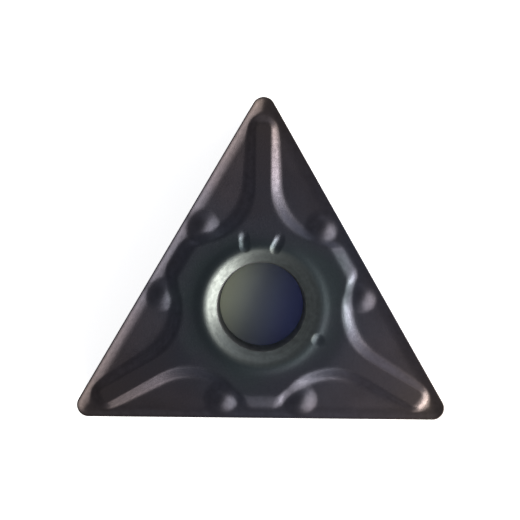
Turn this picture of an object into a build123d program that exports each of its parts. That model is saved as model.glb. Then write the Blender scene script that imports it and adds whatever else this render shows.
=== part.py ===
import os
from math import cos, radians, sin, tan

from build123d import *

# Triangular turning insert, a single pressed and sintered body with the same chip breaker on both faces.
# Millimetres. The clamping hole runs along Z, one corner points along +Y and the mid-plane is Z = 0.

# Body
inscribed_circle = 9.525
thickness = 4.76
nose_radius = 0.5

# Clamping hole, with a countersink and a rounded lip at each end
bore_diameter = 3.81
countersink_width = 0.52
countersink_slope = 40
lip_radius = 0.12

# Shallow ring pressed round the countersink, which leaves it a narrow collar
collar_width = 0.1
ring_fall_width = 0.3
ring_rise_width = 0.45
ring_depth = 0.05

# Cutting edge: a narrow flat land behind a fine bevel, lower than the seat
edge_bevel = 0.05
edge_land = 0.1
edge_drop = 0.05

# Chip groove: a rake face behind the land, then a gently falling floor
rake_width = 0.45
rake_drop = 0.16
floor_width = 1.4
floor_drop = 0.13
groove_corner_radius = 0.1

# Seat: a star with a finger to each corner and a bridge to each mid-edge
finger_width = 0.56
finger_tip_radius = 0.2
finger_to_nose = 1.1
bridge_width = 1.6
bridge_corner_radius = 0.25
bridge_to_groove = 0.42
bridge_flare = 43.5
scallop_radius = 2.4
wall_draft = 50
seat_edge_radius = 0.1

# Chip humps, one pair beside each bridge
hump_diameter = 1.25
hump_spacing = 3.4
hump_drop = 0.07

# Derived sizes
corner_count = 3
corner_direction = 90
edge_direction = corner_direction - 180 / corner_count
corner_half_angle = 90 - 180 / corner_count

inradius = inscribed_circle / 2
bore_radius = bore_diameter / 2
nose_reach = (inradius - nose_radius) / sin(radians(corner_half_angle)) + nose_radius

seat_level = thickness / 2
edge_level = seat_level - edge_drop
rake_foot_level = edge_level - rake_drop
floor_level = rake_foot_level - floor_drop

rake_start = inradius - edge_land
rake_end = rake_start - rake_width
floor_end = rake_end - floor_width

finger_reach = nose_reach - finger_to_nose
bridge_reach = rake_end - bridge_to_groove

# Each scallop starts at the corner where a finger's side meets the flared side of a bridge
finger_side = finger_width / 2 / cos(radians(corner_half_angle))
flare_rise = tan(radians(bridge_flare))
finger_rise = tan(radians(corner_half_angle))
root_across = (bridge_reach + bridge_width / 2 * flare_rise - finger_side) / (flare_rise + finger_rise)
root_out = finger_side + root_across * finger_rise

countersink_radius = bore_radius + countersink_width
countersink_depth = countersink_width * tan(radians(countersink_slope))
collar_radius = countersink_radius + collar_width
ring_foot_radius = collar_radius + ring_fall_width
ring_radius = ring_foot_radius + ring_rise_width
hump_level = seat_level - hump_drop
hump_out = rake_start - hump_diameter / 2


def rounded_triangle(apothem, corner_radius):
    """Equilateral triangle by its inscribed radius, one corner towards +Y, corners rounded."""
    triangle = RegularPolygon(apothem, corner_count, major_radius=False, rotation=corner_direction)
    fillet(triangle.vertices(), corner_radius)


with BuildPart() as insert_body:
    # Upper half of the blank, up to the cutting edge
    with BuildSketch():
        rounded_triangle(inradius, nose_radius)
    extrude(amount=edge_level)

    # Chip groove: rake face and floor as one ruled dish
    with BuildSketch(Plane.XY.offset(edge_level)):
        rounded_triangle(rake_start, nose_radius - edge_land)
    with BuildSketch(Plane.XY.offset(rake_foot_level)):
        rounded_triangle(rake_end, groove_corner_radius)
    with BuildSketch(Plane.XY.offset(floor_level)):
        rounded_triangle(floor_end, groove_corner_radius)
    loft(ruled=True, mode=Mode.SUBTRACT)

    # Bevelled cutting edge
    land = insert_body.faces().sort_by(Axis.Z)[-1]
    chamfer(land.outer_wire().edges(), edge_bevel)

    # Star-shaped seat with drafted walls
    with BuildSketch(Plane.XY.offset(seat_level)) as star:
        with PolarLocations(0, corner_count, start_angle=edge_direction):
            Polygon(
                (0, 0),
                (root_out, -root_across),
                (bridge_reach, -bridge_width / 2),
                (bridge_reach, bridge_width / 2),
                (root_out, root_across),
                align=None,
            )
        bridge_corners = star.vertices().group_by(SortBy.DISTANCE)[-1]
        fillet(bridge_corners, bridge_corner_radius)
        with PolarLocations(0, corner_count, start_angle=corner_direction):
            Rectangle(finger_reach, finger_width, align=(Align.MIN, Align.CENTER))
        finger_corners = star.vertices().group_by(SortBy.DISTANCE)[-1]
        fillet(finger_corners, finger_tip_radius)
        scallop_roots = star.vertices().group_by(SortBy.DISTANCE)[0]
        fillet(scallop_roots, scallop_radius)
    extrude(amount=floor_level - seat_level, taper=-wall_draft)
    seat = insert_body.faces().sort_by(Axis.Z)[-1]
    fillet(seat.edges(), seat_edge_radius)

    # Chip humps: drafted studs on the groove floor, just inside the land
    with BuildSketch(Plane.XY.offset(floor_level)):
        with PolarLocations(0, corner_count, start_angle=edge_direction):
            with Locations((hump_out, hump_spacing / 2), (hump_out, -hump_spacing / 2)):
                Circle(hump_diameter / 2)
    extrude(amount=hump_level - floor_level, taper=wall_draft)

    # Clamping hole, turned as one profile from the mid-plane to the seat
    with BuildSketch(Plane.XZ):
        with BuildLine():
            Polyline(
                (0, 0),
                (bore_radius, 0),
                (bore_radius, seat_level - countersink_depth),
                (countersink_radius, seat_level),
                (0, seat_level),
                close=True,
            )
        make_face()
    revolve(axis=Axis.Z, mode=Mode.SUBTRACT)
    seat = insert_body.faces().sort_by(Axis.Z)[-1]
    fillet(seat.inner_wires()[0].edges(), lip_radius)

    # Ring round the collar
    with BuildSketch(Plane.XZ):
        Polygon(
            (collar_radius, seat_level),
            (ring_foot_radius, seat_level - ring_depth),
            (ring_radius, seat_level),
            align=None,
        )
    revolve(axis=Axis.Z, mode=Mode.SUBTRACT)

    # The lower half is the same
    mirror(about=Plane.XY)

os.makedirs("parts", exist_ok=True)
insert_body.part.label = "insert_body"
export_step(insert_body.part, "parts/insert_body.step")
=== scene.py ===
from math import cos, pi, radians, sin, tan

import bpy
import numpy as np
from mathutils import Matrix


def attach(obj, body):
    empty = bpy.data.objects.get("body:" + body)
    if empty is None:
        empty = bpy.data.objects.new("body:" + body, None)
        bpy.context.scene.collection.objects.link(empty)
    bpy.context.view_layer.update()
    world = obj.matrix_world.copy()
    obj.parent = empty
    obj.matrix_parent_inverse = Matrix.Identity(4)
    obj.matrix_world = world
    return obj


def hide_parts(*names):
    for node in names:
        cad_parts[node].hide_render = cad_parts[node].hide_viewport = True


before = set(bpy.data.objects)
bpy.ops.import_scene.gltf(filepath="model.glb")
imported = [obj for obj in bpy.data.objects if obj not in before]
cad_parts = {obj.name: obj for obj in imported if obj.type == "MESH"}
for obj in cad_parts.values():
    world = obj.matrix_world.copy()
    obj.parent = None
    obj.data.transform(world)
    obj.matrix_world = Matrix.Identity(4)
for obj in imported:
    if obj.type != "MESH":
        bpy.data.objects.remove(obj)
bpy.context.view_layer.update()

# Triangular turning insert of coated carbide, lying flat, with its camera straight above it.
# The shapes are worked out in millimetres and put into the meshes in metres.
mm = 0.001
withinBox = 0.9998              # keeps the piece a hair inside the CAD box
fullTurn = 2 * pi


def softMax(a, b, reach):
    # The larger of two heights, joined by a parabola where they are closer than reach
    return np.maximum(a, b) + np.clip(reach - np.abs(a - b), 0, None) ** 2 / (4 * reach)


def softMin(a, b, reach):
    # The smaller of two heights, joined in the same way
    return -softMax(-a, -b, reach)


def ramp(distance, reach):
    # Nothing before zero and the distance itself after it, with a soft start
    return softMax(distance, 0 * distance, reach)


def smoothStep(share):
    # From nought to one, level at both ends: share squared times (3 less twice the share)
    return share * share * (3 - 2 * share)


def roundCorner(first, second, cosine, radius):
    # Distance past two straight sides whose outward directions have this cosine between them:
    # the larger of the two, and round their corner the distance from its centre less the radius
    a = first + radius
    b = second + radius
    arc = np.sqrt((a * a - 2 * cosine * a * b + b * b) / (1 - cosine * cosine)) - radius
    roundTheCorner = (a > cosine * b) & (b > cosine * a)
    return np.where(roundTheCorner, arc, np.maximum(first, second))


# Millimetres, and degrees for the slopes and the flare
insert = {
    "inscribedCircle": 9.525,
    "thickness": 4.76,
    "noseRadius": 0.5,
    "bore": 3.81,
    "boreEdgeRadius": 0.15,
    "countersinkWidth": 0.52,
    "countersinkSlope": 40,
    "lipReach": 0.12,
    "collarWidth": 0.18,            # flat between the countersink and the shallow ring
    "ringFall": 0.42,
    "ringRise": 0.9,
    "ringDepth": 0.045,
    "edgeHone": 0.04,
    "edgeLand": 0.06,
    "edgeDrop": 0.05,               # from the seat down to the cutting edge
    "rakeWidth": 0.49,
    "rakeDrop": 0.18,
    "floorWidth": 1.4,
    "floorDrop": 0.12,
    "floorEnd": 0.3,                # softness where the floor stops falling
    "bend": 0.05,                   # softness at the land, the rake face and the rim of the seat
    "fingerWidth": 0.7,
    "fingerTipRadius": 0.24,
    "fingerToNose": 1.1,
    "bridgeWidth": 1.6,
    "bridgeCornerRadius": 0.25,
    "bridgeToGroove": 0.42,
    "bridgeFlare": 43.5,
    "bridgeEndEase": 0.52,          # how steep the bridge's end is, as a share of the other walls
    "scallopRadius": 2.6,
    "wallSlope": 34.5,
    "wallFoot": 0.08,
    "humpOut": 3.95,                # from the axis towards the edge
    "humpSpacing": 3.4,
    "humpRadius": 0.8,
    "humpRise": 0.22,
    "columns": 756,                 # round the rim
    "rowGap": 0.1,                  # from a bend in the bore to the next row
    # Index marks on the upper face only, pressed in: two strokes and a dot
    "marks": [
        {"radius": 2.87, "angle": 105.5, "leaning": 94, "length": 0.36, "width": 0.5, "depth": 0.12},
        {"radius": 2.76, "angle": 76.5, "leaning": 62, "length": 0.36, "width": 0.5, "depth": 0.12},
        {"radius": 2.76, "angle": -29.5, "leaning": 0, "length": 0.02, "width": 0.56, "depth": 0.085},
    ],
}

edgeFacing = radians(30)        # one edge faces here, the others a third of a turn on
sector = fullTurn / 3
halfSector = sector / 2

inradius = insert["inscribedCircle"] / 2
boreRadius = insert["bore"] / 2
seatLevel = insert["thickness"] / 2
edgeLevel = seatLevel - insert["edgeDrop"]
floorSlope = insert["floorDrop"] / insert["floorWidth"]
rakeSlope = 2 * insert["rakeDrop"] / insert["rakeWidth"] - floorSlope    # at the land, easing to the floor's
rakeStart = inradius - insert["edgeLand"]
rakeEnd = rakeStart - insert["rakeWidth"]
noseReach = 2 * (inradius - insert["noseRadius"]) + insert["noseRadius"]
bridgeReach = rakeEnd - insert["bridgeToGroove"]
fingerReach = noseReach - insert["fingerToNose"]
countersinkRise = tan(radians(insert["countersinkSlope"]))
countersinkRadius = boreRadius + insert["countersinkWidth"]
ringFoot = countersinkRadius + insert["collarWidth"] + insert["ringFall"]
boreTop = seatLevel - insert["countersinkWidth"] * countersinkRise

# Rows over the face: first and last distance from the axis, and how many
rowBands = [
    (boreRadius + insert["rowGap"], 2.3, 4),    # countersink
    (2.35, 2.75, 9),                            # lip and collar
    (2.8, 3.9, 24),                             # ring and marks
    (3.95, rakeStart, 16),                      # groove and rake face
]
lastCircle = rowBands[1][1]     # rows are circles up to here
firstTriangle = rowBands[2][1]  # and parallel to the rim from here


def foldToEdge(x, y):
    # Turns and mirrors every point into the half sector between an edge's middle and a corner.
    # The first value is the distance towards the edge, the second the distance along it.
    turned = (np.arctan2(y, x) - edgeFacing + halfSector) % sector - halfSector
    distance = np.hypot(x, y)
    return distance * np.cos(turned), distance * np.sin(np.abs(turned))


def rimInset(out, along):
    # How far a point lies inside the rim, a triangle with rounded corners
    nextEdge = out * cos(sector) + along * sin(sector) - inradius
    return -roundCorner(out - inradius, nextEdge, cos(sector), insert["noseRadius"])


def seatDistance(out, along):
    # How far a point lies outside the star-shaped seat: a bridge with flared sides towards the edge's
    # middle, a straight finger towards the corner, and a hollow arc between them
    flare = radians(insert["bridgeFlare"])
    end = out - bridgeReach
    flared = end * cos(flare) + (along - insert["bridgeWidth"] / 2) * sin(flare)
    bridge = roundCorner(end * insert["bridgeEndEase"], flared, cos(flare), insert["bridgeCornerRadius"])
    side = out * sin(halfSector) - along * cos(halfSector) - insert["fingerWidth"] / 2
    tip = out * cos(halfSector) + along * sin(halfSector) - fingerReach
    finger = roundCorner(side, tip, 0, insert["fingerTipRadius"])
    cosine = cos(flare) * sin(halfSector) - sin(flare) * cos(halfSector)
    return -roundCorner(-bridge, -finger, cosine, insert["scallopRadius"])


def grooveHeight(out, along):
    # The rake face falls from the land as a parabola that ends at the floor's slope, and the floor falls
    # on evenly and then levels out. Each stage takes the part of the inset that lies on it.
    inset = rimInset(out, along) - insert["edgeLand"]
    fall = ramp(inset, insert["bend"])
    onRake = softMin(fall, insert["rakeWidth"] + 0 * fall, insert["bend"])
    pastFloor = ramp(inset - insert["rakeWidth"] - insert["floorWidth"], insert["floorEnd"])
    return (edgeLevel - rakeSlope * onRake
            + (rakeSlope - floorSlope) * onRake ** 2 / (2 * insert["rakeWidth"])
            - floorSlope * (fall - onRake) + floorSlope * pastFloor)


def swell(share):
    # One in the middle and level there and at its foot: (1 - share squared) squared
    return np.clip(1 - share ** 2, 0, None) ** 2


def faceHeight(x, y):
    # Height of a face: the seat stands out of the groove on sloping walls, round humps stand beside the
    # bridges, a shallow ring is pressed round the collar, and the countersink cuts through it all
    out, along = foldToEdge(x, y)
    seat = seatLevel - tan(radians(insert["wallSlope"])) * ramp(seatDistance(out, along), insert["bend"])
    height = softMax(grooveHeight(out, along), seat, insert["wallFoot"])
    fromHump = np.hypot(out - insert["humpOut"], along - insert["humpSpacing"] / 2)
    height = height + insert["humpRise"] * swell(fromHump / insert["humpRadius"])
    fromAxis = np.hypot(x, y)
    ringWidth = np.where(fromAxis < ringFoot, insert["ringFall"], insert["ringRise"])
    height = height - insert["ringDepth"] * swell((fromAxis - ringFoot) / ringWidth)
    cone = seatLevel - (countersinkRadius - fromAxis) * countersinkRise
    return softMin(height, cone, insert["lipReach"])


def pressMarks(x, y, height):
    # Each mark is a stroke with a round section, deepest on its middle line and gone at half its width:
    # (1 - share squared) to the power 1.5
    for mark in insert["marks"]:
        middleX = mark["radius"] * cos(radians(mark["angle"]))
        middleY = mark["radius"] * sin(radians(mark["angle"]))
        alongX, alongY = cos(radians(mark["leaning"])), sin(radians(mark["leaning"]))
        lengthways = (x - middleX) * alongX + (y - middleY) * alongY
        lengthways = np.clip(np.abs(lengthways) - mark["length"] / 2, 0, None)
        sideways = (y - middleY) * alongX - (x - middleX) * alongY
        fromStroke = np.hypot(lengthways, sideways) / (mark["width"] / 2)
        height = height - mark["depth"] * np.clip(1 - fromStroke ** 2, 0, None) ** 1.5
    return height


def triangleRadius(angle, apothem, corner):
    # Distance from the middle to a round-cornered triangle, in each direction: along a side its apothem
    # over the cosine of the angle from the side's middle, and at a corner where the corner's circle ends
    fromEdge = np.abs((angle - edgeFacing + halfSector) % sector - halfSector)
    centre = 2 * (apothem - corner)
    straight = apothem / np.cos(fromEdge)
    across = centre * np.sin(halfSector - fromEdge)
    arc = centre * np.cos(halfSector - fromEdge) + np.sqrt(np.clip(corner ** 2 - across ** 2, 0, None))
    straightEnds = np.arctan2((apothem - corner) * tan(halfSector), apothem)
    return np.where(fromEdge < straightEnds, straight, arc)


def columnAngles(count):
    # Directions that part the rim into equal lengths, read off forty short steps a column
    fine = np.linspace(0, fullTurn, 40 * count + 1)
    radius = triangleRadius(fine, inradius, insert["noseRadius"])
    x, y = radius * np.cos(fine), radius * np.sin(fine)
    length = np.concatenate([[0], np.cumsum(np.hypot(np.diff(x), np.diff(y)))])
    return np.interp(np.arange(count) * length[-1] / count, length, fine)


def boreRows(columns):
    # Up the bore from the middle, and by an arc that touches both the bore and the countersink.
    # Distances from the axis and levels, the same in every column.
    easing = insert["boreEdgeRadius"]
    turned = 90 - insert["countersinkSlope"]
    arc = np.radians(np.linspace(0, turned, 5))
    arcStart = boreTop - easing * tan(radians(turned / 2))
    levels = np.concatenate([[0, arcStart - insert["rowGap"]], arcStart + easing * np.sin(arc)])
    radii = boreRadius + np.concatenate([[0, 0], easing * (1 - np.cos(arc))])
    return [np.broadcast_to(values[:, None], (len(values), columns)) for values in (radii, levels)]


def faceRadii(angle):
    # Near the hole the rows are circles, further out they are triangles parallel to the rim, and
    # between the two a row lies part of the way from its circle to its triangle
    bands = [np.linspace(*band) for band in rowBands]
    apothem = np.concatenate(bands + [[inradius - insert["edgeHone"]]])[:, None]
    share = smoothStep(np.clip((apothem - lastCircle) / (firstTriangle - lastCircle), 0, 1))
    corner = np.clip(insert["noseRadius"] - (inradius - apothem), 0.001, None)    # nearly sharp further in
    return apothem + share * (triangleRadius(angle, apothem, corner) - apothem)


def edgeRows(angle):
    # Over the honed edge, a quarter round between the land and the flank, and down to the middle
    hone = insert["edgeHone"]
    turn = np.radians([22.5, 45, 67.5, 90])[:, None]
    inset = hone * (1 - np.sin(turn))
    honed = triangleRadius(angle, inradius - inset, insert["noseRadius"] - inset)
    rim = triangleRadius(angle, inradius, insert["noseRadius"])
    radii = np.concatenate([honed, rim, rim])
    levels = np.concatenate([edgeLevel - hone * (1 - np.cos(turn)), [[edgeLevel - 2 * hone], [0]]])
    return radii, np.broadcast_to(levels, radii.shape)


def insertSurface():
    # A closed ring of rows and columns. The rows go up the bore, out over the countersink and the
    # face, over the cutting edge and down the flank, and back under the lower face.
    angle = columnAngles(insert["columns"])[None, :]
    radii, levels = boreRows(insert["columns"])
    face = faceRadii(angle)
    edge, edgeLevels = edgeRows(angle)
    smooth = faceHeight(face * np.cos(angle), face * np.sin(angle))
    marked = pressMarks(face * np.cos(angle), face * np.sin(angle), smooth)
    radius = np.concatenate([radii, face, edge])
    x, y = radius * np.cos(angle), radius * np.sin(angle)
    upper = np.stack([x, y, np.concatenate([levels, marked, edgeLevels])], axis=-1)
    lower = np.stack([x, y, -np.concatenate([levels, smooth, edgeLevels])], axis=-1)
    return np.concatenate([upper, lower[-2:0:-1]])


def ringMesh(name, points):
    # Quads between neighbouring rows and columns, both closed on themselves, facing outwards
    rows, columns = points.shape[:2]
    index = np.arange(rows * columns).reshape(rows, columns)
    nextRow = np.roll(index, -1, axis=0)
    quads = np.stack([index, nextRow, np.roll(nextRow, -1, axis=1), np.roll(index, -1, axis=1)], axis=-1)
    mesh = bpy.data.meshes.new(name)
    mesh.vertices.add(rows * columns)
    mesh.vertices.foreach_set("co", (points * withinBox * mm).reshape(-1))
    mesh.loops.add(quads.size)
    mesh.loops.foreach_set("vertex_index", quads.reshape(-1))
    mesh.polygons.add(rows * columns)
    mesh.polygons.foreach_set("loop_start", np.arange(rows * columns) * 4)
    mesh.update(calc_edges=True)
    mesh.polygons.foreach_set("use_smooth", np.ones(rows * columns, bool))
    mesh.validate()
    piece = bpy.data.objects.new(name, mesh)
    bpy.context.scene.collection.objects.link(piece)
    return piece


def linear(hexColour):
    # sRGB hex to linear colour
    channels = [int(hexColour[i:i + 2], 16) / 255 for i in (1, 3, 5)]
    return [c / 12.92 if c <= 0.04045 else ((c + 0.055) / 1.055) ** 2.4 for c in channels] + [1]


def addNode(tree, kind, inputs=None, **settings):
    # One node with its settings; an input is a value, or the socket that it is linked to
    node = tree.nodes.new(kind)
    for key, value in settings.items():
        setattr(node, key, value)
    for key, value in (inputs or {}).items():
        if isinstance(value, bpy.types.NodeSocket):
            tree.links.new(value, node.inputs[key])
        else:
            node.inputs[key].default_value = value
    return node


def newNodes(block):
    # The empty node tree of a material or a world
    block.use_nodes = True
    block.node_tree.nodes.clear()
    return block.node_tree


def perMetre(sizeInMillimetres):
    # Noise scale whose spots are about this size
    return 1 / (sizeInMillimetres * mm)


coatedCarbideLook = {
    # Colour of the film at each distance from the axis in millimetres
    "filmTints": [
        (2.7, "#424A4E"),           # teal
        (3.9, "#464750"),           # slate blue
        (5.8, "#4B474D"),           # violet
        (8.8, "#514947"),           # brown
    ],
    "cloud": 2.6,
    "drift": 3.2,                   # how far the clouds shift the tints
    "countersink": "#5E6362",
    "countersinkFade": (2.3, 2.7),  # from the axis
    "bareBore": "#8C8F90",
    "bareFade": (0.01, 0.06),       # from the bore's wall
    "mottle": 0.22,
    "mottleStrength": 0.12,
    # Painted shade towards the left and painted light towards the right, along x
    "paintedShadeSide": 0.84,
    "paintedLightSide": 1.12,
    "sideReach": 5,
    # Painted shade on the seat and painted light in the groove below it, by height
    "paintedShadeOnSeat": 0.95,
    "paintedLightInGroove": 1.1,
    "seatFade": (0.12, 0.03),       # below the seat
    "grindLength": 1.5,
    "grindSpacing": 0.1,
    "grindStrength": 0.1,
    "flankFade": (0.15, 0.05),      # below the cutting edge
    "roughness": 0.37,
    "unevenRoughness": 0.04,
    "rougherCountersink": 0.08,
    "grazingGloss": "#AAAAAA",
    "grain": 0.09,
    "grainStrength": 0.3,
    "grainHeight": 0.01,
    "noiseLow": 0.3,                # nearly all of a noise lies between these two
    "noiseHigh": 0.7,
}


def filmColour(tree, look, place, fromAxis):
    # The film's interference tints follow the distance from the axis, shifted in soft clouds
    cloud = addNode(tree, "ShaderNodeTexNoise", {
        "Vector": place, "Scale": perMetre(look["cloud"]), "Detail": 2})
    uneven = addNode(tree, "ShaderNodeMath", {0: cloud.outputs["Fac"], 1: 0.5}, operation="SUBTRACT")
    reached = addNode(tree, "ShaderNodeMath", {
        0: uneven.outputs[0], 1: look["drift"] * mm, 2: fromAxis}, operation="MULTIPLY_ADD")
    start, firstTint = look["filmTints"][0]
    film = linear(firstTint)
    for end, tint in look["filmTints"][1:]:
        share = addNode(tree, "ShaderNodeMapRange", {
            "Value": reached.outputs[0], "From Min": start * mm, "From Max": end * mm})
        film = addNode(tree, "ShaderNodeMix", {
            "Factor": share.outputs["Result"], "A": film, "B": linear(tint)}, data_type="RGBA").outputs[2]
        start = end
    return film


def inCountersink(tree, look, fromAxis):
    # One inside the countersink, fading to nothing over its lip
    start, end = look["countersinkFade"]
    return addNode(tree, "ShaderNodeMapRange", {
        "Value": fromAxis, "From Min": start * mm, "From Max": end * mm, "To Min": 1, "To Max": 0},
        interpolation_type="SMOOTHSTEP").outputs["Result"]


def holeColour(tree, look, film, thinner, fromAxis):
    # The film thins out in the countersink and doesn't reach into the bore, where the carbide is bare
    colour = addNode(tree, "ShaderNodeMix", {
        "Factor": thinner, "A": film, "B": linear(look["countersink"])}, data_type="RGBA")
    start, end = look["bareFade"]
    bare = addNode(tree, "ShaderNodeMapRange", {
        "Value": fromAxis, "From Min": (boreRadius + start) * mm, "From Max": (boreRadius + end) * mm,
        "To Min": 1, "To Max": 0})
    return addNode(tree, "ShaderNodeMix", {
        "Factor": bare.outputs["Result"], "A": colour.outputs[2], "B": linear(look["bareBore"])},
        data_type="RGBA").outputs[2]


def grindingLines(tree, look, place, level):
    # The flanks are ground along the edge: noise drawn out into lines, and only below the edge.
    # Real lines are about ten times finer, and are drawn coarse enough to show.
    stretch = look["grindLength"] / look["grindSpacing"]
    stretched = addNode(tree, "ShaderNodeVectorMath", {0: place, 1: (1, 1, stretch)}, operation="MULTIPLY")
    lines = addNode(tree, "ShaderNodeTexNoise", {
        "Vector": stretched.outputs[0], "Scale": perMetre(look["grindLength"]), "Detail": 3})
    shade = addNode(tree, "ShaderNodeMapRange", {
        "Value": lines.outputs["Fac"], "From Min": look["noiseLow"], "From Max": look["noiseHigh"],
        "To Min": 1 - look["grindStrength"], "To Max": 1 + look["grindStrength"]})
    start, end = look["flankFade"]
    onFlank = addNode(tree, "ShaderNodeMapRange", {
        "Value": level, "From Min": (edgeLevel - start) * mm, "From Max": (edgeLevel - end) * mm,
        "To Min": 1, "To Max": 0})
    return addNode(tree, "ShaderNodeMix", {
        "Factor": onFlank.outputs["Result"], "A": 1.0, "B": shade.outputs["Result"]}).outputs[0]


def filmValue(tree, look, place, mottle):
    # Lighter and darker: a fine mottle, painted shade on one side and painted light on the other, painted
    # shade on the seat and painted light in the groove, and the lines on the flanks
    apart = addNode(tree, "ShaderNodeSeparateXYZ", {0: place})
    level = addNode(tree, "ShaderNodeMath", {0: apart.outputs["Z"]}, operation="ABSOLUTE").outputs[0]
    spots = addNode(tree, "ShaderNodeMapRange", {
        "Value": mottle, "From Min": look["noiseLow"], "From Max": look["noiseHigh"],
        "To Min": 1 - look["mottleStrength"], "To Max": 1 + look["mottleStrength"]})
    # Painted shade towards the left and painted light towards the right, along x
    side = addNode(tree, "ShaderNodeMapRange", {
        "Value": apart.outputs["X"], "From Min": -look["sideReach"] * mm, "From Max": look["sideReach"] * mm,
        "To Min": look["paintedShadeSide"], "To Max": look["paintedLightSide"]}, interpolation_type="SMOOTHSTEP")
    # Painted shade on the seat and painted light in the groove below it, by height
    start, end = look["seatFade"]
    seatPaintedShade = addNode(tree, "ShaderNodeMapRange", {
        "Value": level, "From Min": (seatLevel - start) * mm, "From Max": (seatLevel - end) * mm,
        "To Min": look["paintedLightInGroove"], "To Max": look["paintedShadeOnSeat"]}, interpolation_type="SMOOTHSTEP")
    value = spots.outputs["Result"]
    for part in (side.outputs["Result"], seatPaintedShade.outputs["Result"], grindingLines(tree, look, place, level)):
        value = addNode(tree, "ShaderNodeMath", {0: value, 1: part}, operation="MULTIPLY").outputs[0]
    return value


def coatedCarbide():
    # Sintered carbide with a dark vapour-deposited nitride film. The eye sees a silky dark metal, teal
    # near the hole and blue, violet and brown further out, a greener countersink, bare grey carbide in
    # the bore, and fine grinding lines on the flanks. Its gloss is held down at grazing angles, where a
    # low lamp would turn the face white. The real grain is about a hundredth of the size given here,
    # and is drawn coarse enough to show.
    look = coatedCarbideLook
    material = bpy.data.materials.new("coatedCarbide")
    tree = newNodes(material)
    place = addNode(tree, "ShaderNodeTexCoord").outputs["Object"]
    flat = addNode(tree, "ShaderNodeVectorMath", {0: place, 1: (1, 1, 0)}, operation="MULTIPLY")
    fromAxis = addNode(tree, "ShaderNodeVectorMath", {0: flat.outputs[0]}, operation="LENGTH").outputs["Value"]
    mottle = addNode(tree, "ShaderNodeTexNoise", {
        "Vector": place, "Scale": perMetre(look["mottle"]), "Detail": 3}).outputs["Fac"]
    thinner = inCountersink(tree, look, fromAxis)
    colour = holeColour(tree, look, filmColour(tree, look, place, fromAxis), thinner, fromAxis)
    colour = addNode(tree, "ShaderNodeHueSaturation", {
        "Color": colour, "Value": filmValue(tree, look, place, mottle)})
    polish = addNode(tree, "ShaderNodeMapRange", {
        "Value": mottle, "From Min": look["noiseLow"], "From Max": look["noiseHigh"],
        "To Min": look["roughness"] + look["unevenRoughness"],
        "To Max": look["roughness"] - look["unevenRoughness"]})
    roughness = addNode(tree, "ShaderNodeMath", {
        0: thinner, 1: look["rougherCountersink"], 2: polish.outputs["Result"]}, operation="MULTIPLY_ADD")
    grain = addNode(tree, "ShaderNodeTexNoise", {
        "Vector": place, "Scale": perMetre(look["grain"]), "Detail": 3})
    grained = addNode(tree, "ShaderNodeBump", {
        "Height": grain.outputs["Fac"], "Strength": look["grainStrength"],
        "Distance": look["grainHeight"] * mm})
    shader = addNode(tree, "ShaderNodeBsdfPrincipled", {
        "Base Color": colour.outputs["Color"], "Metallic": 1, "Roughness": roughness.outputs[0],
        "Specular Tint": linear(look["grazingGloss"]), "Normal": grained.outputs["Normal"]})
    addNode(tree, "ShaderNodeOutputMaterial", {"Surface": shader.outputs["BSDF"]})
    return material


turningInsert = ringMesh("turningInsert", insertSurface())
turningInsert.data.materials.append(coatedCarbide())
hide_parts("insert_body")
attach(turningInsert, "root")
print("insert made,", 2 * len(turningInsert.data.polygons), "triangles")


# Lamps and patches of light have a direction and a height in degrees, and lamps and floor sizes in metres
studio = {
    "floorSize": 1.2,
    "floorColour": "#E6E6E6",
    "floorLift": 0.8,
    # Painted light and painted shadow on the floor seen through the hole: lit olive on the left, shadowed blue
    # on the right
    "paintedLightUnderHole": "#DEE6CC",
    "paintedShadowUnderHole": "#7F89CC",
    "paintedLightTurn": -14,
    "paintedLightFade": (-2.4, 1.9),       # millimetres across the hole
    "paintedPatchEdge": (2.2, 4),          # millimetres from the axis, under the insert
    "lampColour": "#FFFAF2",
    "lamps": [
        {"name": "key", "facing": -22, "height": 15, "distance": 0.16,
         "width": 0.22, "tall": 0.06, "power": 0.65},
        {"name": "upper", "facing": -22, "height": 44, "distance": 0.25,
         "width": 0.52, "tall": 0.2, "power": 0.85},
    ],
    "worldColour": "#F6F8FF",
    "overhead": 0.3,
    "lowGlow": 0.4,
    "lowFade": (0.1, 0.6),          # upward parts of the direction
    "glows": [
        {"facing": 275, "height": 12, "reach": 38, "strength": 0.25},
        {"facing": 80, "height": 10, "reach": 50, "strength": 0.42},
        {"facing": 37, "height": 4, "reach": 32, "strength": 1.2},
    ],
}


def heading(facing, height):
    # Unit vector towards a direction and height in degrees
    across = cos(radians(height))
    return (across * cos(radians(facing)), across * sin(radians(facing)), sin(radians(height)))


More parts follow.
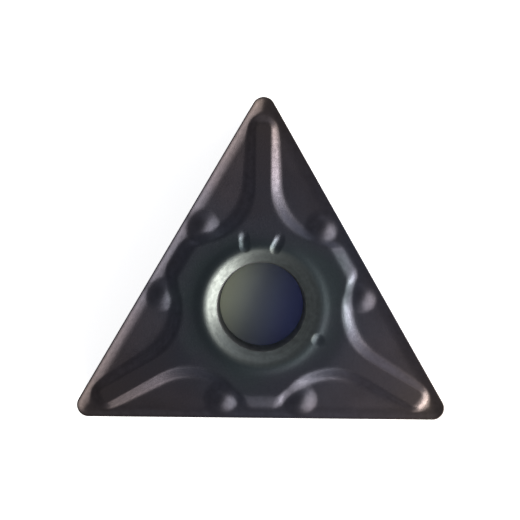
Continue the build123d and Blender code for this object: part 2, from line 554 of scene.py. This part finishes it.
def whiteFloor():
    # Matt white paper. What the camera and the gloss see of it is lifted to white, except under the insert,
    # where the hole shows painted light and painted shadow on it: lit olive on one side and shadowed blue on
    # the other.
    material = bpy.data.materials.new("mattPaper")
    tree = newNodes(material)
    place = addNode(tree, "ShaderNodeTexCoord").outputs["Object"]
    flat = addNode(tree, "ShaderNodeVectorMath", {0: place, 1: (1, 1, 0)}, operation="MULTIPLY")
    fromMiddle = addNode(tree, "ShaderNodeVectorMath", {0: flat.outputs[0]}, operation="LENGTH")
    start, end = studio["paintedPatchEdge"]
    outside = addNode(tree, "ShaderNodeMapRange", {
        "Value": fromMiddle.outputs["Value"], "From Min": start * mm, "From Max": end * mm}).outputs["Result"]
    ray = addNode(tree, "ShaderNodeLightPath").outputs
    lift = ray["Is Camera Ray"]
    for kind in ("Is Glossy Ray", "Is Transmission Ray"):
        lift = addNode(tree, "ShaderNodeMath", {0: lift, 1: ray[kind]}, operation="MAXIMUM").outputs[0]
    for part in (outside, studio["floorLift"]):
        lift = addNode(tree, "ShaderNodeMath", {0: lift, 1: part}, operation="MULTIPLY").outputs[0]
    across = addNode(tree, "ShaderNodeVectorMath", {
        0: place, 1: heading(studio["paintedLightTurn"], 0)}, operation="DOT_PRODUCT")
    start, end = studio["paintedLightFade"]
    toRight = addNode(tree, "ShaderNodeMapRange", {
        "Value": across.outputs["Value"], "From Min": start * mm, "From Max": end * mm},
        interpolation_type="SMOOTHSTEP")
    # Painted light on the left and painted shadow on the right of the floor under the hole
    shade = addNode(tree, "ShaderNodeMix", {
        "Factor": toRight.outputs["Result"], "A": linear(studio["paintedLightUnderHole"]),
        "B": linear(studio["paintedShadowUnderHole"])}, data_type="RGBA")
    colour = addNode(tree, "ShaderNodeMix", {
        "Factor": outside, "A": shade.outputs[2], "B": linear(studio["floorColour"])}, data_type="RGBA")
    paper = addNode(tree, "ShaderNodeBsdfDiffuse", {"Color": colour.outputs[2]})
    glow = addNode(tree, "ShaderNodeEmission", {"Strength": lift})
    both = addNode(tree, "ShaderNodeAddShader", {0: paper.outputs[0], 1: glow.outputs[0]})
    addNode(tree, "ShaderNodeOutputMaterial", {"Surface": both.outputs[0]})
    return material


def makeFloor():
    # A plain square under the insert
    half = studio["floorSize"] / 2
    level = -seatLevel * mm
    corners = [(-half, -half, level), (half, -half, level), (half, half, level), (-half, half, level)]
    mesh = bpy.data.meshes.new("floor")
    mesh.from_pydata(corners, [], [(0, 1, 2, 3)])
    mesh.materials.append(whiteFloor())
    floor = bpy.data.objects.new("floor", mesh)
    bpy.context.scene.collection.objects.link(floor)


def makeWorld():
    # Dim even surroundings, a little brighter low down, with a few soft patches of light
    world = bpy.data.worlds.new("studio")
    tree = newNodes(world)
    direction = addNode(tree, "ShaderNodeTexCoord").outputs["Generated"]
    up = addNode(tree, "ShaderNodeSeparateXYZ", {0: direction}).outputs["Z"]
    start, end = studio["lowFade"]
    strength = addNode(tree, "ShaderNodeMapRange", {
        "Value": up, "From Min": start, "From Max": end, "To Min": studio["lowGlow"],
        "To Max": studio["overhead"]}, interpolation_type="SMOOTHSTEP").outputs["Result"]
    for glow in studio["glows"]:
        towards = addNode(tree, "ShaderNodeVectorMath", {
            0: direction, 1: heading(glow["facing"], glow["height"])}, operation="DOT_PRODUCT")
        share = addNode(tree, "ShaderNodeMapRange", {
            "Value": towards.outputs["Value"], "From Min": cos(radians(glow["reach"])), "From Max": 1,
            "To Max": glow["strength"]}, interpolation_type="SMOOTHSTEP")
        strength = addNode(tree, "ShaderNodeMath", {
            0: strength, 1: share.outputs["Result"]}, operation="ADD").outputs[0]
    ray = addNode(tree, "ShaderNodeLightPath")
    seen = addNode(tree, "ShaderNodeMix", {"Factor": ray.outputs["Is Camera Ray"], "A": strength, "B": 1.0})
    light = addNode(tree, "ShaderNodeBackground", {
        "Color": linear(studio["worldColour"]), "Strength": seen.outputs[0]})
    addNode(tree, "ShaderNodeOutputWorld", {"Surface": light.outputs[0]})
    bpy.context.scene.world = world


def addSoftbox(lamp):
    # A rectangular lamp, turned to the insert
    light = bpy.data.lights.new(lamp["name"], "AREA")
    light.shape = "RECTANGLE"
    light.size = lamp["width"]
    light.size_y = lamp["tall"]
    light.energy = lamp["power"]
    light.color = linear(studio["lampColour"])[:3]
    box = bpy.data.objects.new(lamp["name"], light)
    box.location = [lamp["distance"] * part for part in heading(lamp["facing"], lamp["height"])]
    box.rotation_euler = (radians(90 - lamp["height"]), 0, radians(lamp["facing"] + 90))
    bpy.context.scene.collection.objects.link(box)


cameraView = {
    "pixelsPerMillimetre": 23.35,
    "pixels": 520,
    "lens": 90,
    "sensor": 36,
    "aboveX": -0.09,                # millimetres
    "aboveY": 2.02,
    "roll": 0.6,                    # degrees
}


def makeCamera():
    # Looks straight down, from where the face has this many pixels for a millimetre
    camera = bpy.data.cameras.new("camera")
    camera.lens = cameraView["lens"]
    camera.sensor_width = cameraView["sensor"]
    camera.clip_start = mm
    frameWidth = cameraView["pixels"] / cameraView["pixelsPerMillimetre"]
    distance = frameWidth * cameraView["lens"] / cameraView["sensor"]
    view = bpy.data.objects.new("camera", camera)
    view.location = (cameraView["aboveX"] * mm, cameraView["aboveY"] * mm, (seatLevel + distance) * mm)
    view.rotation_euler = (0, 0, radians(cameraView["roll"]))
    bpy.context.scene.collection.objects.link(view)
    bpy.context.scene.camera = view


makeFloor()
makeWorld()
for lamp in studio["lamps"]:
    addSoftbox(lamp)
makeCamera()
bpy.context.scene.view_settings.view_transform = "Standard"
print("floor, light and camera made")
